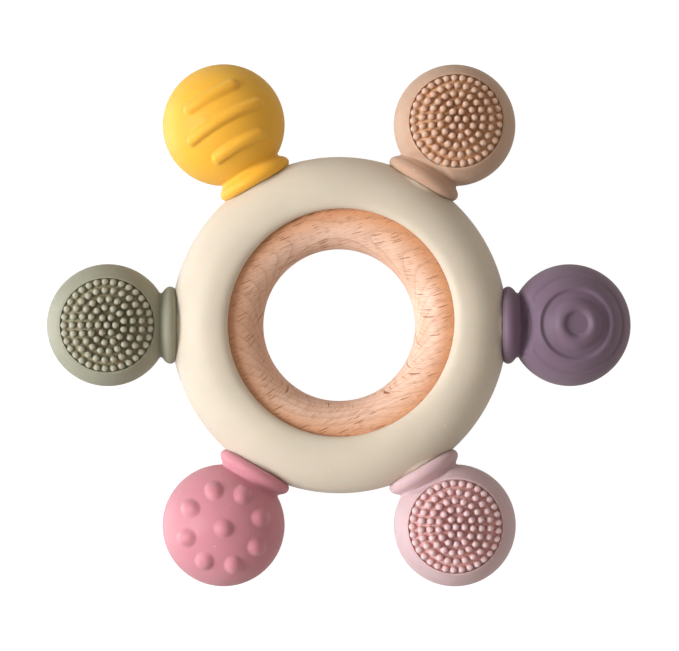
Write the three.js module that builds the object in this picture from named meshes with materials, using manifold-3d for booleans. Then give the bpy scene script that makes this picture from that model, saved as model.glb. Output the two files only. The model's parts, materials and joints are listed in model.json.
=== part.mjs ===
// Wheel-shaped baby teether, in millimetres, +Z up, lying flat.
//
// A smooth beech ring is held in a cream silicone ring whose section is a C that is open towards
// the middle. Six silicone balls stand round it at 60 degrees. Each ball is one moulding with a
// neck, a round flange that seats on the ring, a stem that goes through the ring's outer wall, and
// a flat plug behind that wall. The beech ring keeps the plugs from being pulled out.
//
// The origin is the middle of the wheel, +Z is its axis and +X points at the ripple ball. Each
// ball has the same pattern on its +Z and -Z faces.
//
// Modelled simply here: on three of the balls the bristles are one domed pad on each face.

import * as THREE from "three";
import { mergeVertices } from "three/addons/utils/BufferGeometryUtils.js";
import Module from "manifold-3d";

const wasm = await Module();
wasm.setup();

// ---- driving dimensions ----

const OVERALL_WIDTH = 115; // from the tip of one ball to the tip of the ball opposite
const BALL_RADIUS = 12.05;
const BALL_STEP = Math.PI / 3; // between neighbouring balls, round the wheel
const BALL_CENTRE = OVERALL_WIDTH / 2 - BALL_RADIUS; // from the wheel's axis
const RUNNING_GAP = 0.3; // between pieces that turn in each other

const WOOD_CENTRE = 21.2; // radius of the circle that the beech section is swept along
const WOOD_HALF_WIDTH = 6.3; // half of the beech section, across the wheel
const WOOD_HALF_HEIGHT = 6.6; // half of the beech section, along the wheel's axis

const CREST_RADIUS = 25; // where the silicone ring is thickest
const CREST_HEIGHT = 9.2; // half of its thickness there
const RIM_RADIUS = 33.03; // its outer silhouette
const LIP_RADIUS = 22.3; // the edge of the opening that shows the beech
const LIP_FACE = 0.8; // height of the upright face under that edge

const FLANGE_RADIUS = 7.6; // widest radius of a ball's flange
const FLANGE_BEAD = 1.25; // radius of its rounded edge
const FLANGE_SEAT = 31.95; // its underside, from the wheel's axis
const NECK_RADIUS = 6.33; // narrowest radius between the flange and the ball
const NECK_PLACE = 35.05; // where the neck is narrowest, from the wheel's axis
const STEM_RADIUS = 3.4;
const PLUG_RADIUS = 4.9;
const PLUG_BEVEL = 0.5; // on the plug's inner edge
const PLUG_INNER = 28.15; // the plug's inner face, from the wheel's axis
const PLUG_OUTER = 29.65; // the plug's outer face

const SEAT_FLARE_START = 7.1; // the rim is cut back round a flange, wider towards the ball
const SEAT_FLARE_END = 7.9;
const BOSS_TOP_RADIUS = 7.2; // the raised seat on the silicone ring, under each flange
const BOSS_FOOT_RADIUS = 8.4;
const BOSS_FOOT = 28.2; // where the seat's flared foot ends, from the wheel's axis
const CUT_START = 24.4; // the boss and the plug's pocket start here, inside the channel
const CUT_END = 40; // the flange's pocket is cut out to here, past the rim

const FACE_RADIUS = 9.2; // edge of the bristle face on a ball
const FACE_FLOOR = 5.5; // the ridges are built up from this height over the ball's middle

const RIPPLE_BEADS = [
  { inner: 2, outer: 4.9, rise: 0.85 },
  { inner: 6.4, outer: 9.3, rise: 0.6 },
]; // its two raised rings, with their height over their own feet
const RIPPLE_CREST_DROP = 0.05; // how far their crests are under the ball's surface
const RIPPLE_DISC_DROP = 1; // how far the flat disc in the middle is under it

const BRISTLE_PAD_RADIUS = 8.95;
const BRISTLE_GROOVE_FLOOR = 6.2; // height of the groove's floor over the ball's middle

const RIDGE_HALF_WIDTH = 1.2; // on the ridged ball
const RIDGE_RISE = 0.95;
const RIDGE_SHIFT = -0.55; // all three ridges stand a little to one side
const RIDGES = [
  { out: 5.3, halfLength: 5.9 },
  { out: -0.1, halfLength: 8.4 },
  { out: -5.65, halfLength: 5.9 },
]; // each ridge's distance from the ball's middle, outwards, and its half length

const DOT_RADIUS = 1.8; // on the dotted ball
const DOT_RISE = 1;
const DOT_CIRCLE = 7.55; // the circle that the outer dots stand on
const DOT_COUNT = 8; // the dots on that circle

const WHEEL_STEPS = 48; // flat sides round the wheel's axis
const STEM_STEPS = 24; // flat sides round a ball's stem
const FACE_STEPS = 20; // flat sides round a ball's face

const COLOURS = {
  beech: "#d9a77f",
  cream: "#dfd0b8",
  purple: "#77657a",
  tan: "#bb9075",
  yellow: "#e0a93f",
  sage: "#908c79",
  rose: "#c98a90",
  blush: "#c49c9a",
};

// ---- helpers ----

// A three.js geometry as a manifold-3d solid.
function solid(geometry) {
  const bare = geometry.clone();
  bare.deleteAttribute("normal");
  bare.deleteAttribute("uv");
  const merged = mergeVertices(bare, 1e-4);
  return new wasm.Manifold(
    new wasm.Mesh({
      numProp: 3,
      vertProperties: new Float32Array(merged.attributes.position.array),
      triVerts: new Uint32Array(merged.index.array),
    }),
  );
}

// A manifold-3d solid as a three.js geometry.
function geometryOf(body) {
  const mesh = body.getMesh();
  const geometry = new THREE.BufferGeometry();
  geometry.setAttribute("position", new THREE.BufferAttribute(mesh.vertProperties, mesh.numProp));
  geometry.setIndex(new THREE.BufferAttribute(mesh.triVerts, 1));
  geometry.computeVertexNormals();
  return geometry;
}

function point(radius, height) {
  return new THREE.Vector2(radius, height);
}

// Points on an ellipse from one angle to another, both ends included.
function arc(centre, radiusX, radiusY, from, to, steps) {
  const points = [];
  for (let i = 0; i <= steps; i += 1) {
    const angle = from + ((to - from) * i) / steps;
    points.push(point(centre.x + radiusX * Math.cos(angle), centre.y + radiusY * Math.sin(angle)));
  }
  return points;
}

// A profile of (radius, height) points turned about Z.
function turned(points, steps) {
  return new THREE.LatheGeometry(points, steps).rotateX(Math.PI / 2);
}

// A profile turned about +X, so that its heights are distances from the wheel's axis.
function turnedOutwards(points) {
  return turned(points, STEM_STEPS).rotateY(Math.PI / 2);
}

// The height of a sphere's surface over its middle, at a distance from its upright axis.
function domeHeight(radius, distance) {
  return Math.sqrt(radius ** 2 - distance ** 2);
}

// Joins or cuts the same shape on both faces of a ball that stands on +X.
function onBothFaces(ball, operation, shape) {
  const top = solid(shape).translate([BALL_CENTRE, 0, 0]);
  const bottom = top.mirror([0, 0, 1]);
  return ball[operation](top)[operation](bottom);
}

// ---- the beech ring ----

// An elliptical section swept round the wheel, on the circle that the beech ring follows.
function ellipseRing(halfWidth, halfHeight, sectionSteps) {
  const section = arc(point(WOOD_CENTRE, 0), halfWidth, halfHeight, 0, 2 * Math.PI, sectionSteps);
  section[sectionSteps].copy(section[0]);
  return turned(section, WHEEL_STEPS);
}

// ---- the silicone ring ----

const CHANNEL_HALF_WIDTH = WOOD_HALF_WIDTH + RUNNING_GAP;
const CHANNEL_HALF_HEIGHT = WOOD_HALF_HEIGHT + RUNNING_GAP;
const SEAT_PLANE = FLANGE_SEAT - RUNNING_GAP;

// Half of the ring's outline, from the rim over the crest to the lip's lower edge.
function carrierOutline() {
  const lipAngle = Math.acos((LIP_RADIUS - WOOD_CENTRE) / CHANNEL_HALF_WIDTH);
  const lipTop = CHANNEL_HALF_HEIGHT * Math.sin(lipAngle) + LIP_FACE;
  const crest = point(CREST_RADIUS, 0);
  const shoulder = point(CREST_RADIUS, lipTop);
  const shoulderHeight = CREST_HEIGHT - lipTop;
  return [
    ...arc(crest, RIM_RADIUS - CREST_RADIUS, CREST_HEIGHT, 0, Math.PI / 2, 6),
    ...arc(shoulder, CREST_RADIUS - LIP_RADIUS, shoulderHeight, Math.PI / 2, Math.PI, 3).slice(1),
  ];
}

// The raised seat under one flange, before the channel is cut out of it.
function boss() {
  return turnedOutwards([
    point(0, CUT_START),
    point(BOSS_FOOT_RADIUS, CUT_START),
    point(BOSS_FOOT_RADIUS, BOSS_FOOT),
    point(BOSS_TOP_RADIUS, SEAT_PLANE),
    point(0, SEAT_PLANE),
  ]);
}

// What one ball's plug, stem and flange need cut away.
function ballSocket() {
  const pocketRadius = PLUG_RADIUS + RUNNING_GAP;
  const pocketEnd = PLUG_OUTER + RUNNING_GAP;
  const holeRadius = STEM_RADIUS + RUNNING_GAP;
  return turnedOutwards([
    point(0, CUT_START),
    point(pocketRadius, CUT_START),
    point(pocketRadius, pocketEnd),
    point(holeRadius, pocketEnd),
    point(holeRadius, SEAT_PLANE),
    point(SEAT_FLARE_START, SEAT_PLANE),
    point(SEAT_FLARE_END, RIM_RADIUS),
    point(SEAT_FLARE_END, CUT_END),
    point(0, CUT_END),
  ]);
}

// A C section that is open towards the middle, with six seats and sockets through its wall.
function carrierRing() {
  const upper = carrierOutline();
  const lower = upper.slice(1).reverse().map((p) => point(p.x, -p.y));
  const channel = solid(ellipseRing(CHANNEL_HALF_WIDTH, CHANNEL_HALF_HEIGHT, 16));
  const seat = solid(boss());
  const socket = solid(ballSocket());
  let ring = solid(turned([...upper, ...lower, upper[0].clone()], WHEEL_STEPS));
  for (let degrees = 0; degrees < 360; degrees += 60) {
    ring = ring.add(seat.rotate([0, 0, degrees]));
  }
  ring = ring.subtract(channel);
  for (let degrees = 0; degrees < 360; degrees += 60) {
    ring = ring.subtract(socket.rotate([0, 0, degrees]));
  }
  return geometryOf(ring);
}

// ---- the balls ----

// The ball, neck, flange, stem and plug, standing on +X, with no pattern.
function plainBall() {
  const beadMiddle = point(FLANGE_RADIUS - FLANGE_BEAD, FLANGE_SEAT + FLANGE_BEAD);
  const neckAngle = Math.asin(NECK_RADIUS / BALL_RADIUS);
  const ballStart = -Math.PI / 2 + neckAngle + 0.05;
  const sphere = arc(point(0, BALL_CENTRE), BALL_RADIUS, BALL_RADIUS, ballStart, Math.PI / 2, 9);
  sphere[sphere.length - 1].x = 0;
  return turnedOutwards([
    point(0, PLUG_INNER),
    point(PLUG_RADIUS - PLUG_BEVEL, PLUG_INNER),
    point(PLUG_RADIUS, PLUG_INNER + PLUG_BEVEL),
    point(PLUG_RADIUS, PLUG_OUTER),
    point(STEM_RADIUS, PLUG_OUTER),
    point(STEM_RADIUS, FLANGE_SEAT),
    ...arc(beadMiddle, FLANGE_BEAD, FLANGE_BEAD, -Math.PI / 2, Math.PI / 3, 3),
    point(NECK_RADIUS, NECK_PLACE),
    ...sphere,
  ]);
}

// A face with two rounded rings round a flat disc, sunk into the ball.
function rippleBall() {
  const clear = BALL_RADIUS + 1;
  const disc = BALL_RADIUS - RIPPLE_DISC_DROP;
  const mould = [point(0, disc), point(RIPPLE_BEADS[0].inner, disc)];
  for (const bead of RIPPLE_BEADS) {
    for (const part of [0, 0.2, 0.5, 0.8, 1]) {
      const distance = bead.inner + (bead.outer - bead.inner) * part;
      const sunk = RIPPLE_CREST_DROP + bead.rise * (1 - Math.sin(Math.PI * part) ** 0.6);
      mould.push(point(distance, domeHeight(BALL_RADIUS, distance) - sunk));
    }
  }
  mould.push(point(RIPPLE_BEADS[1].outer, clear), point(0, clear));
  return geometryOf(onBothFaces(solid(plainBall()), "subtract", turned(mould, FACE_STEPS)));
}

// A face whose bristles are one pad inside a groove.
function bristleBall() {
  const groove = [
    point(BRISTLE_PAD_RADIUS, BRISTLE_GROOVE_FLOOR),
    point(FACE_RADIUS, BRISTLE_GROOVE_FLOOR),
    point(FACE_RADIUS, BALL_RADIUS),
    point(BRISTLE_PAD_RADIUS, BALL_RADIUS),
    point(BRISTLE_PAD_RADIUS, BRISTLE_GROOVE_FLOOR),
  ];
  return geometryOf(onBothFaces(solid(plainBall()), "subtract", turned(groove, FACE_STEPS)));
}

// Three rounded-end ridges across the face, which follow the ball's surface.
function ridgedBall() {
  const shell = solid(new THREE.SphereGeometry(BALL_RADIUS + RIDGE_RISE, 24, 14)).rotate([90, 0, 0]);
  let ridges = null;
  for (const ridge of RIDGES) {
    const straight = ridge.halfLength - RIDGE_HALF_WIDTH;
    const outline = new THREE.Shape();
    outline.absarc(0, straight, RIDGE_HALF_WIDTH, 0, Math.PI, false);
    outline.absarc(0, -straight, RIDGE_HALF_WIDTH, Math.PI, 2 * Math.PI, false);
    const bar = new THREE.ExtrudeGeometry(outline, {
      depth: BALL_RADIUS + 1 - FACE_FLOOR,
      bevelEnabled: false,
      curveSegments: 4,
    });
    bar.translate(ridge.out, RIDGE_SHIFT, FACE_FLOOR);
    const body = solid(bar).intersect(shell);
    ridges = ridges ? ridges.add(body) : body;
  }
  return geometryOf(onBothFaces(solid(plainBall()), "add", geometryOf(ridges)));
}

// One dot in the middle of the face and a circle of dots round it.
function dottedBall() {
  const dot = new THREE.SphereGeometry(1, 8, 6).rotateX(Math.PI / 2);
  dot.scale(DOT_RADIUS, DOT_RADIUS, DOT_RISE);
  dot.translate(0, 0, BALL_RADIUS);
  const lean = THREE.MathUtils.radToDeg(Math.asin(DOT_CIRCLE / BALL_RADIUS));
  let dots = solid(dot);
  const outer = dots.rotate([0, lean, 0]);
  for (let i = 0; i < DOT_COUNT; i += 1) {
    dots = dots.add(outer.rotate([0, 0, (i * 360) / DOT_COUNT]));
  }
  return geometryOf(onBothFaces(solid(plainBall()), "add", geometryOf(dots)));
}

// ---- the assembly ----

const teether = new THREE.Group();

function place(name, geometry, colour, roughness, angle) {
  const material = new THREE.MeshStandardMaterial({ color: colour, roughness, metalness: 0 });
  const mesh = new THREE.Mesh(geometry, material);
  mesh.name = name;
  mesh.rotation.z = angle;
  teether.add(mesh);
}

place("wooden_ring", ellipseRing(WOOD_HALF_WIDTH, WOOD_HALF_HEIGHT, 16), COLOURS.beech, 0.4, 0);
place("silicone_ring", carrierRing(), COLOURS.cream, 0.6, 0);

const bristles = bristleBall();
const balls = [
  ["ripple_ball", rippleBall(), COLOURS.purple],
  ["bristle_ball_tan", bristles, COLOURS.tan],
  ["ridged_ball", ridgedBall(), COLOURS.yellow],
  ["bristle_ball_sage", bristles, COLOURS.sage],
  ["dotted_ball", dottedBall(), COLOURS.rose],
  ["bristle_ball_blush", bristles, COLOURS.blush],
];
balls.forEach(([name, geometry, colour], i) => place(name, geometry, colour, 0.6, i * BALL_STEP));

export default teether;
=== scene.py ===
"""A wheel-shaped baby teether: a beech ring in a silicone ring, with six textured silicone balls.

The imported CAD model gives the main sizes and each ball's place. This script rebuilds each piece as
a fine mesh, in metres, in the same frame: +Z is the wheel's axis and +X points at the ripple ball.
Each ball is made standing on +X, then bent and turned into its place.
"""

import json
import math

import bpy
import numpy as np
from mathutils import Matrix, Vector


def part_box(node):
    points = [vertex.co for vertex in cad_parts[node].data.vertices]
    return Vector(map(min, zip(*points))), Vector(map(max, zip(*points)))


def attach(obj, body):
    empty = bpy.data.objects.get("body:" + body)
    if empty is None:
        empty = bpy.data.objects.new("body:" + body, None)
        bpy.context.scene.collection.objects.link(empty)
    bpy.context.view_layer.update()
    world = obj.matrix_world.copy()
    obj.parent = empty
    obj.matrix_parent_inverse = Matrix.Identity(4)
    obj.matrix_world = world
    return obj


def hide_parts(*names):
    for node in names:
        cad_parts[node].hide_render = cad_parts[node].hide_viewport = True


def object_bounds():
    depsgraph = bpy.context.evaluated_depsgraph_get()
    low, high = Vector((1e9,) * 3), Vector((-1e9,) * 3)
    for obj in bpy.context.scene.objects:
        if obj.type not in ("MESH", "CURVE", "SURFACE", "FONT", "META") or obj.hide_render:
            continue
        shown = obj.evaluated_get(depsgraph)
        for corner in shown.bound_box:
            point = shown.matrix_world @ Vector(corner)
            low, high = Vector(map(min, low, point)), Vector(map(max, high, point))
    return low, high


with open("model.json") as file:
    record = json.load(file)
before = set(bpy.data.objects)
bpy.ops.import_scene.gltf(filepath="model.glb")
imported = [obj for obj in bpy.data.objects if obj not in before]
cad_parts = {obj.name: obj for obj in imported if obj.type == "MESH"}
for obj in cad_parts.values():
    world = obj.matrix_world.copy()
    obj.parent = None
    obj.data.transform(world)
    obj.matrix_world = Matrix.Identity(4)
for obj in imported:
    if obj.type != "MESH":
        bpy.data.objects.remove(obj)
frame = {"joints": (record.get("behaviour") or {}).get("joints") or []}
cad_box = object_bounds()

MM = 0.001
TINY = 1e-9  # keeps a division from meeting nought

# ---- sizes taken from the frame ----

wood_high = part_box("wooden_ring")[1]
carrier_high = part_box("silicone_ring")[1]
ball_low, ball_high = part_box("bristle_ball_sage")

JOINTS = {joint["name"]: joint for joint in frame["joints"]}
BALL_RADIUS = (ball_high.z - ball_low.z) / 2
BALL_CENTRE = Vector(JOINTS["ripple_ball_twist"]["pos_m"]).length  # of a ball, from the wheel's axis
WOOD_RADIUS = wood_high.x
WOOD_HALF_HEIGHT = wood_high.z
RIM_RADIUS = carrier_high.y  # of the plain rim: no ball stands on +Y
CREST_HEIGHT = carrier_high.z

# ---- sizes of the shapes that the CAD model simplifies ----

WOOD_HALF_WIDTH = 6.3 * MM
WOOD_CENTRE = WOOD_RADIUS - WOOD_HALF_WIDTH  # of its section, from the wheel's axis
WOOD_WAVER = 0.025 * MM  # how much hand turning wavers

CREST_RADIUS = 25 * MM  # where the silicone ring is thickest
LIP_RADIUS = 22.2 * MM  # the mean edge of the opening over the beech
LIP_SWAY = ((1, 0.63 * MM, 54), (2, 0.2 * MM, 112))  # how it wanders: waves a turn, size, phase
LIP_CORNER = 2.4  # power of the curve from crest to lip: over 2 is squarer than an ellipse
LIP_TOP = 7.2 * MM  # height where the lip's inner face starts
LIP_SET_BACK = 0.05 * MM  # of the channel's mouth, behind the lip's edge
LIP_GAP = 0.12 * MM  # to the beech, at the lip
CHANNEL_GAP = 0.3 * MM  # to the beech, inside
CHANNEL_PINCH = 0.9  # the gap closes to the lip's over what is past this share of the way to it

SEAT_PLANE = 31.88 * MM  # the face under a flange, from the wheel's axis
SEAT_RADIUS = 5.85 * MM
SEAT_BLEND = 0.55 * MM  # how softly the seat grows out of the ring
SEAT_EDGE = 0.3 * MM  # how rounded the edge of its face is
SEAT_SECTOR = 0.9  # cosine of how far round the ring from a ball's axis its seat is worked out
FLANGE_CLEARANCE = 0.04 * MM  # round a flange's edge, where the ring's rim is cut back for it

# The collar's outline and the hole for it, in mm. A point is a distance from the ball's own axis
# and then a distance from the wheel's.
PLUG_AND_STEM = ((0, 28.15), (4.3, 28.15), (4.75, 28.3), (4.9, 28.65), (4.9, 29.5), (4.75, 29.65),
                 (3.5, 29.65), (3.4, 29.75), (3.4, 31.85), (3.5, 31.95), (5.6, 31.95))
FLANGE_EDGE = ((6.3, 31.97), (6.85, 32.12), (7.25, 32.4), (7.52, 32.8), (7.6, 33.2))
FLANGE_BACK = ((7.52, 33.65), (7.28, 34.05), (6.92, 34.4), (6.58, 34.65))
NECK = ((6.38, 34.9), (6.34, 35.1), (6.42, 35.32), (6.62, 35.6), (6.9, 36.0))
COLLAR_TOP = ((4, 36.6), (0, 36.6))  # inside the ball
NECK_JOIN = (6.4, 35.25)  # where the neck meets the ball
PLUG_HOLE = 5.2
STEM_HOLE = 3.7
HOLE_START = 24.4  # in the channel
HOLE_STEP = 29.95  # where the plug's hole narrows to the stem's
HOLE_POCKET = SEAT_PLANE / MM + 0.02  # the flange's pocket starts just clear of the seat's face
HOLE_END = 36  # outside the ring

NECK_START = 33.2 * MM  # the ball leans between these two
NECK_END = 36.4 * MM
NECK_PIVOT = 33.5 * MM
THIN_START = 34.8 * MM  # the neck is as thin as it gets past the second of these two
THIN_END = 35.7 * MM
CREASE_WIDTH = 1.0 * MM
CREASE_BOW = 20 * MM  # the larger, the straighter a crease

DISC_RADIUS = 1.85 * MM  # the middle of the ripple ball's face
DISC_FLAT = 0.6  # share of it that is quite flat
DISC_DROP = 1.15 * MM
# The ripples outside it, in mm: distance from the face's middle, and depth under the ball's surface.
RIPPLES = (
    (2.1, 0.92), (2.5, 0.46), (2.9, 0.12), (3.35, 0.0), (3.9, 0.06), (4.35, 0.26),
    (4.7, 0.58), (4.95, 0.87), (5.2, 0.98), (5.6, 1.0), (6.1, 0.97), (6.45, 0.87),
    (6.8, 0.52), (7.15, 0.15), (7.65, 0.0), (8.2, 0.05), (8.75, 0.22), (9.15, 0.42),
    (9.4, 0.43), (9.65, 0.23), (9.95, 0.04), (10.2, 0.0),
)

FACE_RADIUS = 9.2 * MM  # of a bristled recess
FLOOR_MIDDLE = 9.85 * MM  # height of the recess floor over the ball's middle
FLOOR_FALL = 3.05 * MM  # how much lower it is at the recess wall
BRISTLE_ROWS = ((0, 1), (1.66, 6), (3.36, 13), (5.03, 19), (6.73, 25), (8.38, 33))  # mm, count
BRISTLE_RADIUS = 0.6 * MM
BRISTLE_ROOT = 0.3 * MM  # how deep its foot is in the floor
# A bristle's outline, in shares of its radius and of its height.
BRISTLE_OUTLINE = ((0, 0), (1.3, 0), (1.2, 0.3), (1.08, 0.55), (0.98, 0.7), (0.9, 0.8),
                   (0.76, 0.9), (0.54, 0.965), (0.27, 0.993), (0, 1))
HEIGHT_SPREAD = 0.03  # mm, how much bristles differ
LEAN_SPREAD = 0.035  # mm
WIDTH_SPREAD = 0.012  # share of the radius

DOT_RADIUS = 1.7 * MM
DOT_RISE = 1.0 * MM
DOT_CIRCLE = 7.5 * MM  # radius of the circle that the outer dots are on
DOT_COUNT = 8
RIDGES = ((5.3, 5.9, 0.3), (-0.1, 8.4, 0.75), (-5.65, 5.9, 0.4))  # mm: place, half length, bow
RIDGE_HALF_WIDTH = 1.2 * MM
RIDGE_RISE = 0.95 * MM
RIDGE_SHIFT = -0.55 * MM  # how far they are set to one side
MOUND_POWER = 2.5  # of the curve from the top of a dot or ridge to its side
MOUND_FILLET = 0.6 * MM

TIP_SHARES = (0.2, 1)  # how far up a bristle, as shares of its height, it turns to its painted paler tip colour
GAP_SHARES = (0.7, 0.1)  # and how far down to the painted light and shade between bristles
MARK_EDGES = (FACE_RADIUS - 0.02 * MM, FACE_RADIUS + 0.05 * MM)  # how far out each painted colour goes

PARTING = 0.04 * MM  # height of the faint mould line round each silicone piece
PARTING_EDGES = (0.004, 0.014)  # where it fades on the ring, in radians round the section

WHEEL_STEPS = 640  # mesh columns round the silicone ring
WOOD_STEPS = 400
BALL_STEPS = 288
COLLAR_STEPS = 160
BRISTLE_STEPS = 14

# ---- what each ball is like ----

# How the balls settled: lean tips the upper face outwards and twist is about the ball's own axis, in
# degrees. crease is how far from the ball's middle, in mm, its faces start to dip to the neck, and
# thin is how much thinner than it is wide the neck is there, as a share.
BALLS = [
    {"node": "ripple_ball", "joint": "ripple_ball_twist", "slot": "purple_silicone",
     "lean": 5.5, "twist": 1.5, "crease": 7.3, "thin": 0.38},
    {"node": "bristle_ball_tan", "joint": "tan_ball_twist", "slot": "tan_silicone",
     "lean": 4.8, "twist": 1.0, "crease": 8.3, "thin": 0.16},
    {"node": "ridged_ball", "joint": "ridged_ball_twist", "slot": "yellow_silicone",
     "lean": 1.9, "twist": 0.0, "crease": 8.7, "thin": 0.0},
    {"node": "bristle_ball_sage", "joint": "sage_ball_twist", "slot": "sage_silicone",
     "lean": -1.1, "twist": 0.0, "crease": 8.7, "thin": 0.0},
    {"node": "dotted_ball", "joint": "dotted_ball_twist", "slot": "rose_silicone",
     "lean": 0.0, "twist": 1.7, "crease": 8.7, "thin": 0.0},
    {"node": "bristle_ball_blush", "joint": "blush_ball_twist", "slot": "blush_silicone",
     "lean": -0.3, "twist": 0.0, "crease": 8.6, "thin": 0.18},
]

# The beech board: which way its grain and its growth rings run.
GRAIN = Vector((math.cos(math.radians(22)), math.sin(math.radians(22)), 0))
GROWTH = Vector((0.18, -0.44, 0.88)).normalized()
BOARD_TURN = Matrix((GRAIN, GROWTH, GRAIN.cross(GROWTH))).transposed().to_euler()
GROWTH_STEP = Vector((0, -0.45, 0.89)) / (1.15 * MM)  # one growth ring in this distance

# Linear base colours.
WHITE = (1, 1, 1, 1)
COLOURS = {
    "cream_silicone": (0.635, 0.555, 0.445),
    "purple_silicone": (0.162, 0.097, 0.148),
    "tan_silicone": (0.49, 0.31, 0.212),
    "yellow_silicone": (0.81, 0.425, 0.012),
    "sage_silicone": (0.295, 0.29, 0.21),
    "rose_silicone": (0.57, 0.22, 0.265),
    "blush_silicone": (0.575, 0.40, 0.415),
}
TIP_GLOW_WHITE = 0.06  # share of white in the silicone's colour at a bristle's tip: painted light, for light passing through the thin tip
TIP_GLOW_LIFT = 1.08  # and how much lighter it is painted there
# Painted light and shade: the same silicone down between bristles and on the recess wall, painted
# warmer and more saturated, for light that has passed through it and shade in the gaps.
GAP_PAINTED_LIGHT = {
    "tan_silicone": (0.60, 0.33, 0.17),
    "sage_silicone": (0.29, 0.25, 0.145),
    "blush_silicone": (0.69, 0.39, 0.365),
}


# ---- small maths ----

def smoothstep(low, high, value):
    """0 below low, 1 above high and a smooth turn between."""
    part = np.clip((value - low) / (high - low), 0, 1)
    return part * part * (3 - 2 * part)


def soft_max(a, b, blend):
    """The larger of a and b, rounded where they are nearly equal."""
    near = np.maximum(blend - np.abs(a - b), 0)
    return np.maximum(a, b) + near * near / (4 * blend)


def soft_min(a, b, blend):
    """The smaller of a and b, rounded where they are nearly equal."""
    return -soft_max(-a, -b, blend)


def curve_through(points, steps):
    """A smooth curve through (radius, height) points, with so many steps between two of them."""
    points = np.array(points, float)
    padded = np.vstack([2 * points[0] - points[1], points, 2 * points[-1] - points[-2]])
    out = []
    for p0, p1, p2, p3 in zip(padded, padded[1:], padded[2:], padded[3:]):
        for t in np.linspace(0, 1, steps, endpoint=False):
            out.append(0.5 * (2 * p1 + (p2 - p0) * t + (2 * p0 - 5 * p1 + 4 * p2 - p3) * t ** 2
                              + (3 * p1 - p0 - 3 * p2 + p3) * t ** 3))
    out.append(points[-1])
    return out


# ---- mesh building ----

def band_faces(rows, steps, closed):
    """Four-sided faces of a grid whose rows go round, with vertices stored row by row."""
    row = np.arange(rows if closed else rows - 1)[:, None]
    here = row * steps
    above = ((row + 1) % rows) * steps
    column = np.arange(steps)[None]
    beside = (column + 1) % steps
    quads = np.stack([here + column, here + beside, above + beside, above + column], axis=-1)
    return quads.reshape(-1, 4).tolist()


def revolve(profile, steps):
    """Vertices and faces of a (radius, height) profile that starts and ends on the axis, turned
    about Z. The profile rises, so the faces point outwards."""
    profile = np.array(profile, float)
    body = profile[1:-1]
    angles = np.linspace(0, 2 * math.pi, steps, endpoint=False)
    around = np.stack([np.cos(angles), np.sin(angles)], axis=-1)
    flat = body[:, None, :1] * around[None]
    heights = np.broadcast_to(body[:, None, 1:], (len(body), steps, 1))
    vertices = np.concatenate([flat, heights], axis=-1).reshape(-1, 3)
    count = len(vertices)
    last = (len(body) - 1) * steps
    faces = band_faces(len(body), steps, closed=False)
    for j in range(steps):
        k = (j + 1) % steps
        faces.append([count, k, j])
        faces.append([count + 1, last + j, last + k])
    poles = [[0, 0, profile[0][1]], [0, 0, profile[-1][1]]]
    return np.vstack([vertices, poles]), faces


def swept_ring(radius, height, around):
    """Vertices of a ring about Z, row by row. A row is one point of the section, at every angle."""
    vertices = np.stack([radius * np.cos(around), radius * np.sin(around), height], axis=-1)
    return vertices.reshape(-1, 3)


def onto_x(vertices):
    """Turns a shape made along Z so that it lies along X."""
    return np.stack([vertices[:, 2], vertices[:, 1], -vertices[:, 0]], axis=-1)


def merged(parts):
    """Several (vertices, faces) as one."""
    vertices, faces, count = [], [], 0
    for part_vertices, part_faces in parts:
        vertices.append(part_vertices)
        faces += [[count + i for i in face] for face in part_faces]
        count += len(part_vertices)
    return np.vstack(vertices), faces


def mesh_object(name, vertices, faces):
    """A new object in the scene, made of these vertices and faces."""
    mesh = bpy.data.meshes.new(name)
    mesh.from_pydata(np.asarray(vertices).tolist(), [], faces)
    mesh.update()
    piece = bpy.data.objects.new(name, mesh)
    bpy.context.scene.collection.objects.link(piece)
    return piece


def combine(piece, tool, operation):
    """Joins tool to piece, or cuts it out of it, and removes tool."""
    modifier = piece.modifiers.new("combine", "BOOLEAN")
    modifier.object = tool
    modifier.operation = operation
    modifier.solver = "MANIFOLD"
    graph = bpy.context.evaluated_depsgraph_get()
    result = bpy.data.meshes.new_from_object(piece.evaluated_get(graph))
    piece.modifiers.clear()
    old = piece.data
    piece.data = result
    bpy.data.meshes.remove(old)
    bpy.data.objects.remove(tool)


def points_of(piece):
    """A piece's vertices as an array."""
    flat = np.empty(len(piece.data.vertices) * 3, np.float32)
    piece.data.vertices.foreach_get("co", flat)
    return flat.reshape(-1, 3).astype(float)


def set_points(piece, vertices):
    """Moves a piece's vertices."""
    piece.data.vertices.foreach_set("co", np.asarray(vertices, np.float32).ravel())
    piece.data.update()


def soften(piece, weight, rounds):
    """Evens out the vertices that have a weight, so that a sharp join becomes a small fillet."""
    pull = 0.5  # how far a vertex goes towards the mean of its neighbours in a round
    edges = np.empty(len(piece.data.edges) * 2, np.int64)
    piece.data.edges.foreach_get("vertices", edges)
    a, b = edges.reshape(-1, 2).T
    points = points_of(piece)
    degree = np.bincount(a, minlength=len(points)) + np.bincount(b, minlength=len(points))
    for _ in range(rounds):
        total = np.zeros_like(points)
        np.add.at(total, a, points[b])
        np.add.at(total, b, points[a])
        mean = total / np.maximum(degree, 1)[:, None]
        points += (mean - points) * weight[:, None] * pull
    set_points(piece, points)


def finish_piece(piece, material, body, node, crease):
    """Smooth shading with edges sharper than crease degrees kept, a material and its body."""
    piece.data.materials.clear()
    piece.data.materials.append(material)
    piece.data.shade_smooth()
    piece.data.set_sharp_from_angle(angle=math.radians(crease))
    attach(piece, body)
    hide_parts(node)


# ---- node helpers ----

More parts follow.
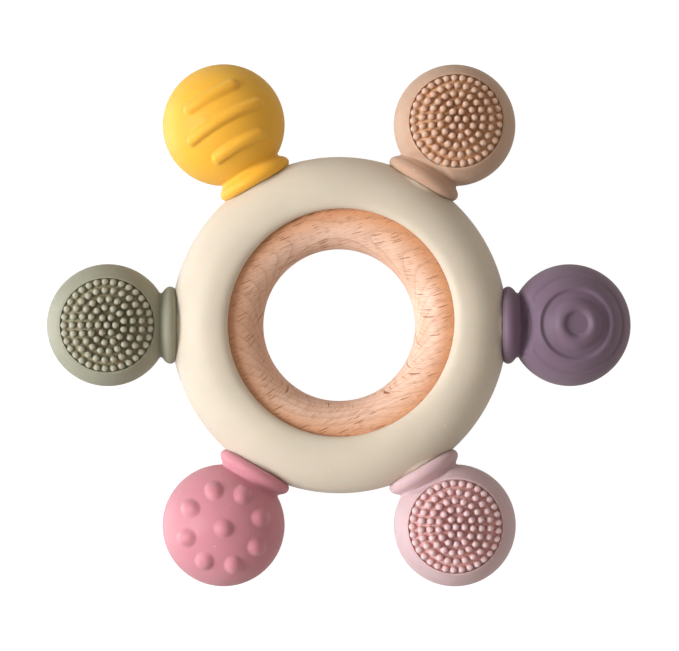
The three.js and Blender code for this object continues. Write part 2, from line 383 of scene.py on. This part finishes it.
class Nodes:
    """A short way to write a material's nodes."""

    def __init__(self, name):
        self.material = bpy.data.materials.new(name)
        self.material.use_nodes = True
        self.tree = self.material.node_tree
        self.shader = self.tree.nodes["Principled BSDF"]
        self.place = self.tree.nodes.new("ShaderNodeTexCoord").outputs["Object"]

    def set(self, socket, value):
        """Gives a socket a value, or joins it to another socket."""
        if isinstance(value, bpy.types.NodeSocket):
            self.tree.links.new(value, socket)
        else:
            socket.default_value = value

    def surface(self, values):
        """Sets the shader's own sockets."""
        for key, value in values.items():
            self.set(self.shader.inputs[key], value)

    def add(self, kind, inputs, **settings):
        """A new node with its inputs and settings."""
        node = self.tree.nodes.new(kind)
        for key, value in settings.items():
            setattr(node, key, value)
        for key, value in inputs.items():
            self.set(node.inputs[key], value)
        return node

    def noise(self, scale, detail=2, roughness=0.5, place=None):
        """Cloudy noise from 0 to 1."""
        node = self.add("ShaderNodeTexNoise", {
            "Vector": self.place if place is None else place, "Scale": scale, "Detail": detail,
            "Roughness": roughness,
        })
        return node.outputs["Fac"]

    def remap(self, value, low, high, to_low=0, to_high=1, smooth=True):
        """Maps low to to_low and high to to_high, and keeps within them."""
        node = self.add("ShaderNodeMapRange", {
            "Value": value, "From Min": low, "From Max": high, "To Min": to_low, "To Max": to_high,
        }, interpolation_type="SMOOTHSTEP" if smooth else "LINEAR")
        return node.outputs["Result"]

    def math(self, operation, a, b=0.0):
        """One sum on one or two values."""
        node = self.add("ShaderNodeMath", {0: a, 1: b}, operation=operation)
        return node.outputs["Value"]

    def mix(self, factor, a, b, blend="MIX"):
        """Colour a with b over it by factor."""
        node = self.add("ShaderNodeMix", {}, data_type="RGBA", blend_type=blend)
        self.set(node.inputs[0], factor)
        self.set(node.inputs[6], a)
        self.set(node.inputs[7], b)
        return node.outputs[2]

    def bump(self, height, distance, strength, normal=None):
        """Fine relief, over that of normal if there is one."""
        inputs = {"Height": height, "Distance": distance, "Strength": strength}
        if normal is not None:
            inputs["Normal"] = normal
        return self.add("ShaderNodeBump", inputs).outputs["Normal"]

    def board(self, length, depth, width):
        """Object coordinates in the beech's own directions, measured in cells of a size in mm."""
        node = self.add("ShaderNodeMapping", {
            "Vector": self.place, "Rotation": BOARD_TURN,
            "Scale": (length * MM, depth * MM, width * MM),
        }, vector_type="TEXTURE")
        return node.outputs["Vector"]


def shaded(colour, factor):
    """A colour made lighter or darker, with its alpha."""
    return tuple(channel * factor for channel in colour) + (1,)


def silicone(name, colour):
    """Soft matte silicone: even colour, a velvety bloom, a fine moulded grain and a little dust, and
    on bristled balls painted paler tips and painted light and shade between the bristles.
    """
    n = Nodes(name)
    bristled = name in GAP_PAINTED_LIGHT
    cloud = n.noise(90, detail=3)
    tone = n.mix(n.remap(cloud, 0.3, 0.7), shaded(colour, 0.97), shaded(colour, 1.03))
    if bristled:
        # Painted light: a bristle's tip is painted paler and lighter, for light passing through it.
        tip = n.add("ShaderNodeAttribute", {}, attribute_name="tip").outputs["Fac"]
        tip_glow = tuple(1 - (1 - channel) * (1 - TIP_GLOW_WHITE) for channel in colour)
        tone = n.mix(tip, tone, shaded(tip_glow, TIP_GLOW_LIFT))
        # Painted light and shade: down between the bristles and on the recess wall the colour is
        # painted warmer.
        gap_painted_light = n.add("ShaderNodeAttribute", {}, attribute_name="gap_painted_light").outputs["Fac"]
        tone = n.mix(gap_painted_light, tone, (*GAP_PAINTED_LIGHT[name], 1))
    dust = n.remap(n.noise(1500, detail=1, roughness=0.3), 0.80, 0.84)
    tone = n.mix(n.math("MULTIPLY", dust, 0.35), tone, (0.9, 0.88, 0.84, 1))
    grain = n.noise(5200, detail=2)
    pebble = n.bump(grain, 0.03 * MM, 0.5)
    n.surface({
        "Base Color": tone,
        "Roughness": n.remap(grain, 0.2, 0.8, 0.46, 0.58),
        "Normal": n.bump(n.noise(420, detail=1), 0.12 * MM, 0.25, pebble),
        "IOR": 1.41,
        "Specular IOR Level": 0.25 if bristled else 0.35,
        "Subsurface Weight": 0.9,
        "Subsurface Radius": (1.0, 0.65, 0.5),
        "Subsurface Scale": (0.8 if bristled else 0.6) * MM,
        "Sheen Weight": 0.09,
        "Sheen Roughness": 0.9,
    })
    return n.material


def flecks(n, length, width, share, biggest):
    """Ray flecks: thin lens-shaped marks along the grain, in some of the cells of that size."""
    depth, soft_edge = length * 1.6, 0.06
    cell = n.add("ShaderNodeTexVoronoi", {
        "Vector": n.board(length, depth, width), "Scale": 1, "Randomness": 1,
    })
    chance = n.add("ShaderNodeSeparateColor", {"Color": cell.outputs["Color"]}).outputs["Red"]
    reach = n.remap(chance, 1 - share, 1, 0, biggest, smooth=False)
    return n.remap(n.math("SUBTRACT", reach, cell.outputs["Distance"]), 0, soft_edge)


def beech():
    """Waxed beech: pinkish, with dark ray flecks along the grain, faint growth rings, and painted
    shade towards the silicone lip.
    """
    n = Nodes("beech")
    cloud = n.noise(1, detail=3, place=n.board(30, 12, 7))
    tone = n.mix(n.remap(cloud, 0.3, 0.7), (0.82, 0.555, 0.425, 1), (0.70, 0.43, 0.30, 1))
    # Painted shade: the beech is painted darker and warmer towards the silicone lip, where it goes
    # under it.
    flat = n.add("ShaderNodeVectorMath", {0: n.place, 1: (1, 1, 0)}, operation="MULTIPLY")
    reach = n.add("ShaderNodeVectorMath", {0: flat.outputs["Vector"]}, operation="LENGTH")
    lip_shade = n.remap(reach.outputs["Value"], 17.5 * MM, 22.5 * MM)
    tone = n.mix(lip_shade, tone, n.mix(1, tone, (0.84, 0.585, 0.37, 1), blend="MULTIPLY"))

    depth = n.add("ShaderNodeVectorMath", {0: n.place, 1: GROWTH_STEP}, operation="DOT_PRODUCT")
    wander = n.math("MULTIPLY", n.noise(55, detail=2), 3.0)
    ring = n.math("FRACT", n.math("ADD", depth.outputs["Value"], wander))
    late_wood = n.math("POWER", ring, 5.0)
    tone = n.mix(n.math("MULTIPLY", late_wood, 0.55), tone, (0.46, 0.23, 0.135, 1))

    streak = n.noise(1, detail=3, roughness=0.6, place=n.board(2.6, 3, 0.16))
    tone = n.mix(n.remap(streak, 0.42, 0.72, 0, 0.55), tone, (0.52, 0.25, 0.135, 1))
    silver = n.noise(1, detail=2, place=n.board(0.9, 2, 0.13))
    tone = n.mix(n.remap(silver, 0.55, 0.75, 0, 0.35), tone, (0.86, 0.60, 0.43, 1))

    large = flecks(n, 3.4, 0.2, 0.36, 0.46)
    small = flecks(n, 1.6, 0.12, 0.42, 0.46)
    mark = n.math("MAXIMUM", n.math("MULTIPLY", large, 0.95), n.math("MULTIPLY", small, 0.55))
    tone = n.mix(mark, tone, (0.30, 0.10, 0.035, 1))

    pores = n.bump(n.math("SUBTRACT", 1.0, mark), 0.04 * MM, 0.6)
    n.surface({
        "Base Color": tone,
        "Roughness": n.remap(streak, 0.3, 0.75, 0.46, 0.6),
        "Normal": n.bump(streak, 0.05 * MM, 0.35, pores),
        "Specular IOR Level": 0.4,
        "Subsurface Weight": 0.08,
        "Subsurface Radius": (1.0, 0.45, 0.25),
        "Subsurface Scale": 0.8 * MM,
        "Coat Weight": 0.08,
        "Coat Roughness": 0.45,
    })
    return n.material


# ---- the beech ring ----

def wooden_ring():
    """A ring of oval section, turned by hand, so it wavers by a few hundredths of a millimetre."""
    section = 96
    around = np.linspace(0, 2 * math.pi, WOOD_STEPS, endpoint=False)[None]
    across = np.linspace(0, 2 * math.pi, section, endpoint=False)[:, None]
    waver = WOOD_WAVER * np.sin(3 * around + 1) * np.sin(2 * across + 4 * around)
    radius = WOOD_CENTRE + (WOOD_HALF_WIDTH + waver) * np.cos(across)
    height = (WOOD_HALF_HEIGHT + waver) * np.sin(across)
    vertices = swept_ring(radius, height, around)
    piece = mesh_object("wooden_ring_fine", vertices, band_faces(section, WOOD_STEPS, True))
    finish_piece(piece, beech(), "wood", "wooden_ring", crease=60)


# ---- the silicone ring ----

def lip_edge(around):
    """Radius of the opening over the beech, which isn't quite round."""
    edge = np.full_like(around, LIP_RADIUS)
    for waves, size, phase in LIP_SWAY:
        edge += size * np.cos(waves * around - math.radians(phase))
    return edge


def seat_reach(around, reach, along, up, ball):
    """How far the ring's surface is from the middle of its section, once it has a ball's seat.

    reach is the plain section's distance, and (along, up) its direction, outwards and upwards."""
    axis = math.atan2(ball["axis"].y, ball["axis"].x)
    turn = (around - axis + math.pi) % (2 * math.pi) - math.pi
    near = np.cos(turn) > SEAT_SECTOR
    turn = np.where(near, turn, 0)
    start_x, start_y = CREST_RADIUS * np.cos(turn), CREST_RADIUS * np.sin(turn)
    step_x, step_y = along * np.cos(turn), along * np.sin(turn)
    square = step_y ** 2 + up ** 2
    half = start_y * step_y
    inside = SEAT_RADIUS ** 2 - start_y ** 2
    side = np.where(
        inside > 0,
        (-half + np.sqrt(np.maximum(half ** 2 + square * inside, 0))) / np.maximum(square, TINY),
        0,
    )
    cap = np.where(step_x > TINY, (SEAT_PLANE - start_x) / np.maximum(step_x, TINY), 1)
    seat = soft_min(side, cap, SEAT_EDGE)
    return np.where(near & (inside > -SEAT_RADIUS ** 2), soft_max(reach, seat, SEAT_BLEND), reach)


def outer_section(around, balls):
    """The outside of the C section, from the lower crest round to the upper one, with the seats."""
    swing = np.linspace(-math.pi / 2, math.pi / 2, 90)
    mould_line = np.radians([-0.9, -0.5, 0, 0.5, 0.9])
    swing = np.sort(np.concatenate([swing, mould_line]))[:, None]
    out_x = (RIM_RADIUS - CREST_RADIUS) * np.cos(swing)
    out_z = CREST_HEIGHT * np.sin(swing)
    reach = np.hypot(out_x, out_z)
    along, up = out_x / reach, out_z / reach
    reach = reach + PARTING * (1 - smoothstep(*PARTING_EDGES, np.abs(swing)))
    reach = np.broadcast_to(reach, (len(swing), around.size)).copy()
    for ball in balls:
        reach = seat_reach(around, reach, along, up, ball)
    return np.stack(np.broadcast_arrays(CREST_RADIUS + reach * along, reach * up), axis=-1)


def lip_section(edge):
    """The upper lip, from the crest in to its edge."""
    part = np.sin(np.linspace(0, math.pi / 2, 22))[1:, None]
    lip_x = CREST_RADIUS - (CREST_RADIUS - edge) * part
    rounding = np.clip(1 - part ** LIP_CORNER, 0, 1) ** (1 / LIP_CORNER)
    lip_z = LIP_TOP + (CREST_HEIGHT - LIP_TOP) * rounding
    return np.stack(np.broadcast_arrays(lip_x, lip_z), axis=-1)


def channel_section(edge):
    """The channel that holds the beech, from the upper lip round to the lower one."""
    channel_x = WOOD_HALF_WIDTH + CHANNEL_GAP
    channel_z = WOOD_HALF_HEIGHT + CHANNEL_GAP
    mouth = np.arccos(np.clip((edge + LIP_SET_BACK - WOOD_CENTRE) / channel_x, -1, 1))
    sweep = np.linspace(1, -1, 48)[:, None]
    angle = mouth * sweep
    pinch = (CHANNEL_GAP - LIP_GAP) * smoothstep(CHANNEL_PINCH, 1.0, np.abs(sweep))
    return np.stack(np.broadcast_arrays(
        WOOD_CENTRE + (channel_x - pinch) * np.cos(angle), (channel_z - pinch) * np.sin(angle),
    ), axis=-1)


def sockets(balls):
    """What is cut out of the ring for each ball: a stepped hole and a pocket for its flange."""
    clearance = FLANGE_CLEARANCE / MM
    under_flange = 2  # the cut goes straight from the stem's hole to this point of the edge
    edge = curve_through(FLANGE_EDGE, steps=4)[under_flange:]
    pocket = [(radius + clearance, height) for radius, height in edge]
    profile = np.array([
        (0, HOLE_START), (PLUG_HOLE, HOLE_START), (PLUG_HOLE, HOLE_STEP), (STEM_HOLE, HOLE_STEP),
        (STEM_HOLE, HOLE_POCKET), *pocket, (pocket[-1][0], HOLE_END), (0, HOLE_END),
    ]) * MM
    vertices, faces = revolve(profile, COLLAR_STEPS)
    return merged([(turned_to(onto_x(vertices), ball["axis"]), faces) for ball in balls])


def silicone_ring(balls):
    """The C section swept round, with its wandering lips, seats and sockets."""
    around = np.linspace(0, 2 * math.pi, WHEEL_STEPS, endpoint=False)[None]
    edge = lip_edge(around)
    lip = lip_section(edge)
    lower_lip = lip[::-1] * np.array([1, -1])
    section = np.concatenate([outer_section(around, balls), lip, channel_section(edge), lower_lip])
    vertices = swept_ring(section[..., 0], section[..., 1], around)
    faces = band_faces(len(section), WHEEL_STEPS, True)
    piece = mesh_object("silicone_ring_fine", vertices, faces)
    combine(piece, mesh_object("sockets", *sockets(balls)), "DIFFERENCE")
    material = silicone("cream_silicone", COLOURS["cream_silicone"])
    finish_piece(piece, material, "carrier", "silicone_ring", crease=40)


# ---- the balls ----

def turned_to(vertices, axis):
    """Turns what stands on +X about Z, so that it stands on axis."""
    flat = np.array(vertices, float)
    x = flat[:, 0] * axis.x - flat[:, 1] * axis.y
    y = flat[:, 0] * axis.y + flat[:, 1] * axis.x
    return np.stack([x, y, flat[:, 2]], axis=-1)


def dome(distance, drop=0.0):
    """Height of the ball's surface, less drop, at a distance from the middle of its face."""
    return math.sqrt(max((BALL_RADIUS - drop) ** 2 - distance ** 2, 0))


def sphere_profile(start, end, steps):
    """Half of the ball's outline between two distances from the upright axis, upper half."""
    low, high = math.asin(start / BALL_RADIUS), math.asin(end / BALL_RADIUS)
    angles = np.linspace(low, high, steps)
    return [(BALL_RADIUS * math.sin(a), BALL_RADIUS * math.cos(a)) for a in angles]


def equator_profile(start):
    """The ball's outline from a distance out to its equator, with the mould line."""
    line_start = 0.03  # radians over the equator
    mould_line = ((0.012, 0), (0.006, PARTING * 0.8), (0, PARTING))  # angle and rise
    points = sphere_profile(start, BALL_RADIUS * math.cos(line_start), 34)
    for angle, rise in mould_line:
        reach = BALL_RADIUS + rise
        points.append((reach * math.cos(angle), reach * math.sin(angle)))
    return points


def both_halves(upper):
    """A whole outline, rising, from the upper half's, which starts on the axis and falls."""
    lower = [(radius, -height) for radius, height in upper]
    return lower[:-1] + upper[::-1]


def plain_outline():
    """A plain ball, for dots or ridges to be raised on."""
    first, last, beyond = 0.15 * MM, 9 * MM, 9.2 * MM
    face = [(0, BALL_RADIUS)] + sphere_profile(first, last, 56)
    return both_halves(face + equator_profile(beyond))


def ripple_outline():
    """Two rounded rings round a sunk flat disc, and a shallow groove outside them."""
    flat = BALL_RADIUS - DISC_DROP
    disc_drop = dome(DISC_RADIUS) - flat
    rings = curve_through([(DISC_RADIUS / MM, disc_drop / MM), *RIPPLES], steps=8)
    upper = [(0, flat), (DISC_FLAT * DISC_RADIUS, flat)]
    upper += [(distance * MM, dome(distance * MM) - drop * MM) for distance, drop in rings]
    beyond = (RIPPLES[-1][0] + 0.2) * MM
    return both_halves(upper + equator_profile(beyond))


def floor_height(distance):
    """Height of a recess's domed floor at a distance from its middle."""
    return FLOOR_MIDDLE - FLOOR_FALL * (distance / FACE_RADIUS) ** 2


def bristle_outline():
    """A round recess with a domed floor and a rounded rim."""
    wall = FACE_RADIUS
    rim = dome(wall)
    low = floor_height(wall)
    upper = [(0, floor_height(0))]
    for distance in np.linspace(0.3, wall / MM - 0.35, 30) * MM:
        upper.append((distance, floor_height(distance)))
    upper += curve_through([
        (wall - 0.12 * MM, low), (wall, low + 0.2 * MM), (wall, rim - 0.6 * MM),
        (wall + 0.02 * MM, rim - 0.28 * MM), (wall + 0.14 * MM, dome(wall + 0.14 * MM, 0.08 * MM)),
        (wall + 0.36 * MM, dome(wall + 0.36 * MM)),
    ], steps=4)
    beyond = wall + 0.5 * MM
    return both_halves(upper + equator_profile(beyond))


def collar():
    """The neck, flange, stem and plug, along X."""
    flange_and_neck = curve_through([*FLANGE_EDGE, *FLANGE_BACK, *NECK], steps=5)
    points = [*PLUG_AND_STEM, *flange_and_neck, *COLLAR_TOP]
    vertices, faces = revolve(np.array(points) * MM, COLLAR_STEPS)
    return onto_x(vertices), faces


def outwards(vertices):
    """Directions from the ball's middle to its vertices."""
    return vertices / np.linalg.norm(vertices, axis=1)[:, None]


def mound(distance, radius, rise):
    """A round-topped bump's height, with a small fillet at its foot."""
    fall = np.minimum(distance / radius, 2) ** MOUND_POWER
    return soft_max(rise * (1 - fall), np.zeros_like(fall), MOUND_FILLET)


def raise_dots(vertices):
    """One dot in the middle of each face and the others round it."""
    middles = [(0, 0)]
    for i in range(DOT_COUNT):
        turn = 2 * math.pi * i / DOT_COUNT
        middles.append((DOT_CIRCLE * math.cos(turn), DOT_CIRCLE * math.sin(turn)))
    height = np.zeros(len(vertices))
    for x, y in middles:
        distance = np.hypot(vertices[:, 0] - x, vertices[:, 1] - y)
        height = np.maximum(height, mound(distance, DOT_RADIUS, DOT_RISE))
    return vertices + outwards(vertices) * height[:, None]


def raise_ridges(vertices):
    """Three rounded ridges across each face, a little bowed and set to one side."""
    way = outwards(vertices)
    x, y = way[:, 0] * BALL_RADIUS, way[:, 1] * BALL_RADIUS
    height = np.zeros(len(vertices))
    for place, half_length, bow in RIDGES:
        reach = half_length * MM
        along = y - RIDGE_SHIFT
        middle = place * MM + bow * MM * (0.5 - (along / reach) ** 2)
        past = np.maximum(np.abs(along) - (reach - RIDGE_HALF_WIDTH), 0)
        distance = np.hypot(x - middle, past)
        height = np.maximum(height, mound(distance, RIDGE_HALF_WIDTH, RIDGE_RISE))
    on_faces = smoothstep(3 * MM, 5 * MM, np.abs(vertices[:, 2]))  # none near the equator
    return vertices + way * (height * on_faces)[:, None]


def bristles(seed):
    """Round-tipped bristles on both faces, each a closed shape whose foot is in the floor."""
    rng = np.random.default_rng(seed)
    shape, shape_faces = revolve(BRISTLE_OUTLINE, BRISTLE_STEPS)
    parts = []
    for side in (1, -1):
        for row, count in BRISTLE_ROWS:
            for i in range(count):
                turn = 2 * math.pi * i / count
                distance = row * MM
                foot = floor_height(distance) - BRISTLE_ROOT
                tip = dome(distance) + rng.normal(0, HEIGHT_SPREAD) * MM
                lean = rng.normal(0, LEAN_SPREAD, 2) * (shape[:, 2] ** 2)[:, None] * MM
                width = BRISTLE_RADIUS * (1 + rng.normal(0, WIDTH_SPREAD))
                spot = np.array([math.cos(turn), math.sin(turn)]) * distance
                flat = shape[:, :2] * width + spot + lean
                height = side * (foot + (tip - foot) * shape[:, 2])
                faces = shape_faces if side > 0 else [face[::-1] for face in shape_faces]
                parts.append((np.column_stack([flat, height]), faces))
    return merged(parts)


def mark_tips(piece):
    """Stores which points are at the bristles' tips, painted paler for light through the thin
    silicone, and which are down between them and on the recess wall, painted warmer for light and
    shade there."""
    points = points_of(piece)
    distance = np.hypot(points[:, 0] - BALL_CENTRE, points[:, 1])
    floor = floor_height(distance)
    top = np.sqrt(np.maximum(BALL_RADIUS ** 2 - distance ** 2, 0))
    least_depth = 0.1 * MM
    share = (np.abs(points[:, 2]) - floor) / np.maximum(top - floor, least_depth)
    for name, shares, edge in zip(("tip", "gap_painted_light"), (TIP_SHARES, GAP_SHARES), MARK_EDGES):
        values = np.where(distance < edge, smoothstep(*shares, share), 0)
        attribute = piece.data.attributes.new(name, "FLOAT", "POINT")
        attribute.data.foreach_set("value", values.astype(np.float32))


def thin_neck(points, ball):
    """Thins the neck from front to back, and the ball beside it."""
    past_flange = smoothstep(THIN_START, THIN_END, points[:, 0])
    crease = ball["crease"] * MM
    bow = points[:, 1] ** 2 / CREASE_BOW
    near_neck = smoothstep(crease, crease + CREASE_WIDTH, BALL_CENTRE - points[:, 0] - bow)
    points[:, 2] *= 1 - ball["thin"] * past_flange * near_neck
    return points


def bend_and_turn(points, ball):
    """Leans a ball on +X outwards at its neck, twists it, and turns it to its own place."""
    twist = math.radians(ball["twist"])
    x, y, z = points.T
    y, z = y * math.cos(twist) + z * math.sin(twist), z * math.cos(twist) - y * math.sin(twist)
    lean = np.radians(ball["lean"] * smoothstep(NECK_START, NECK_END, x))
    away = x - NECK_PIVOT
    bent_x = NECK_PIVOT + away * np.cos(lean) + z * np.sin(lean)
    bent_z = z * np.cos(lean) - away * np.sin(lean)
    return turned_to(np.column_stack([bent_x, y, bent_z]), ball["axis"])


def fillet_neck(piece):
    """Softens the join of the neck and the ball."""
    points = points_of(piece)
    join_radius, join_place = NECK_JOIN
    fully, not_at_all = 0.25 * MM, 0.6 * MM  # softened, at these distances from the join
    off_axis = np.hypot(points[:, 1], points[:, 2])
    from_join = np.hypot(off_axis - join_radius * MM, points[:, 0] - join_place * MM)
    soften(piece, 1 - smoothstep(fully, not_at_all, from_join), rounds=12)


def make_ball(ball, seed):
    """One moulding: the patterned ball joined to its collar."""
    node = ball["node"]
    outlines = {"ripple_ball": ripple_outline, "ridged_ball": plain_outline,
                "dotted_ball": plain_outline}
    reliefs = {"ridged_ball": raise_ridges, "dotted_ball": raise_dots}
    vertices, faces = revolve(outlines.get(node, bristle_outline)(), BALL_STEPS)
    if node in reliefs:
        vertices = reliefs[node](vertices)
    centre = np.array([BALL_CENTRE, 0, 0])
    piece = mesh_object(node + "_fine", vertices + centre, faces)
    bristled = node not in outlines
    if bristled:
        tufts, tuft_faces = bristles(seed)
        combine(piece, mesh_object("bristles", tufts + centre, tuft_faces), "UNION")
    combine(piece, mesh_object("collar", *collar()), "UNION")
    fillet_neck(piece)
    if bristled:
        mark_tips(piece)
    set_points(piece, bend_and_turn(thin_neck(points_of(piece), ball), ball))
    material = silicone(ball["slot"], COLOURS[ball["slot"]])
    finish_piece(piece, material, ball["body"], node, crease=42)


# ---- floor, lights and camera ----

FLOOR_REACH = 3.0
FLOOR_GAP = 0.4 * MM  # under the lowest point of the CAD model
CAMERA_DISTANCE = 1.04
CAMERA_SHIFT = (0.06 * MM, -0.07 * MM)  # off the wheel's axis
PICTURE_WIDTH = 133.53 * MM  # what the picture spans at the wheel's middle


def make_floor():
    """A floor that glows, so that it comes out an even white."""
    height = cad_box[0].z - FLOOR_GAP
    corners = [(x * FLOOR_REACH, y * FLOOR_REACH, height)
               for x, y in ((-1, -1), (1, -1), (1, 1), (-1, 1))]
    floor = mesh_object("floor", corners, [[0, 1, 2, 3]])
    n = Nodes("floor")
    n.surface({
        "Base Color": (0.12, 0.12, 0.12, 1), "Roughness": 0.9, "Specular IOR Level": 0.0,
        "Emission Color": WHITE, "Emission Strength": 0.98,
    })
    floor.data.materials.append(n.material)
    floor.visible_diffuse = False  # its glow doesn't light the teether from below
    floor.visible_glossy = False
    floor.visible_shadow = False  # nor does it keep the low card's gleam from the teether


def area_light(name, place, size, power, colour, gloss_only=False):
    """A round soft light that faces the middle of the wheel."""
    data = bpy.data.lights.new(name, "AREA")
    data.shape = "DISK"
    data.size = size
    data.energy = power
    data.color = colour
    lamp = bpy.data.objects.new(name, data)
    lamp.location = place
    lamp.visible_diffuse = not gloss_only
    lamp.rotation_mode = "QUATERNION"
    lamp.rotation_quaternion = (-Vector(place)).to_track_quat("-Z", "Y")
    bpy.context.scene.collection.objects.link(lamp)


def make_lights():
    """A soft key light on the left, a low card that only gleams, and an even warm surround."""
    area_light("key", (-1.3, -0.06, 0.95), size=1.0, power=33, colour=(0.97, 1, 1.04))
    area_light("card", (-1.13, 0.0, -0.6), size=1.2, power=12, colour=(1, 1, 1), gloss_only=True)
    world = bpy.data.worlds.new("studio")
    world.use_nodes = True
    background = world.node_tree.nodes["Background"]
    background.inputs["Color"].default_value = (1.04, 0.98, 0.9, 1)
    background.inputs["Strength"].default_value = 0.48
    bpy.context.scene.world = world


def make_camera():
    """Straight above the wheel, far enough away to flatten it as a long lens does."""
    data = bpy.data.cameras.new("camera")
    data.sensor_width = 36
    data.lens = data.sensor_width * CAMERA_DISTANCE / PICTURE_WIDTH
    data.clip_start = 0.05
    data.clip_end = 20
    camera = bpy.data.objects.new("camera", data)
    camera.location = (*CAMERA_SHIFT, CAMERA_DISTANCE)
    bpy.context.scene.collection.objects.link(camera)
    bpy.context.scene.camera = camera


# ---- the scene ----

bpy.context.scene.view_settings.view_transform = "Standard"
bpy.context.scene.view_settings.look = "None"

make_camera()
make_lights()
make_floor()

for entry in BALLS:
    entry["axis"] = Vector(JOINTS[entry["joint"]]["axis"])
    entry["body"] = JOINTS[entry["joint"]]["child"]

wooden_ring()
silicone_ring(BALLS)
for number, entry in enumerate(BALLS):
    make_ball(entry, seed=number)
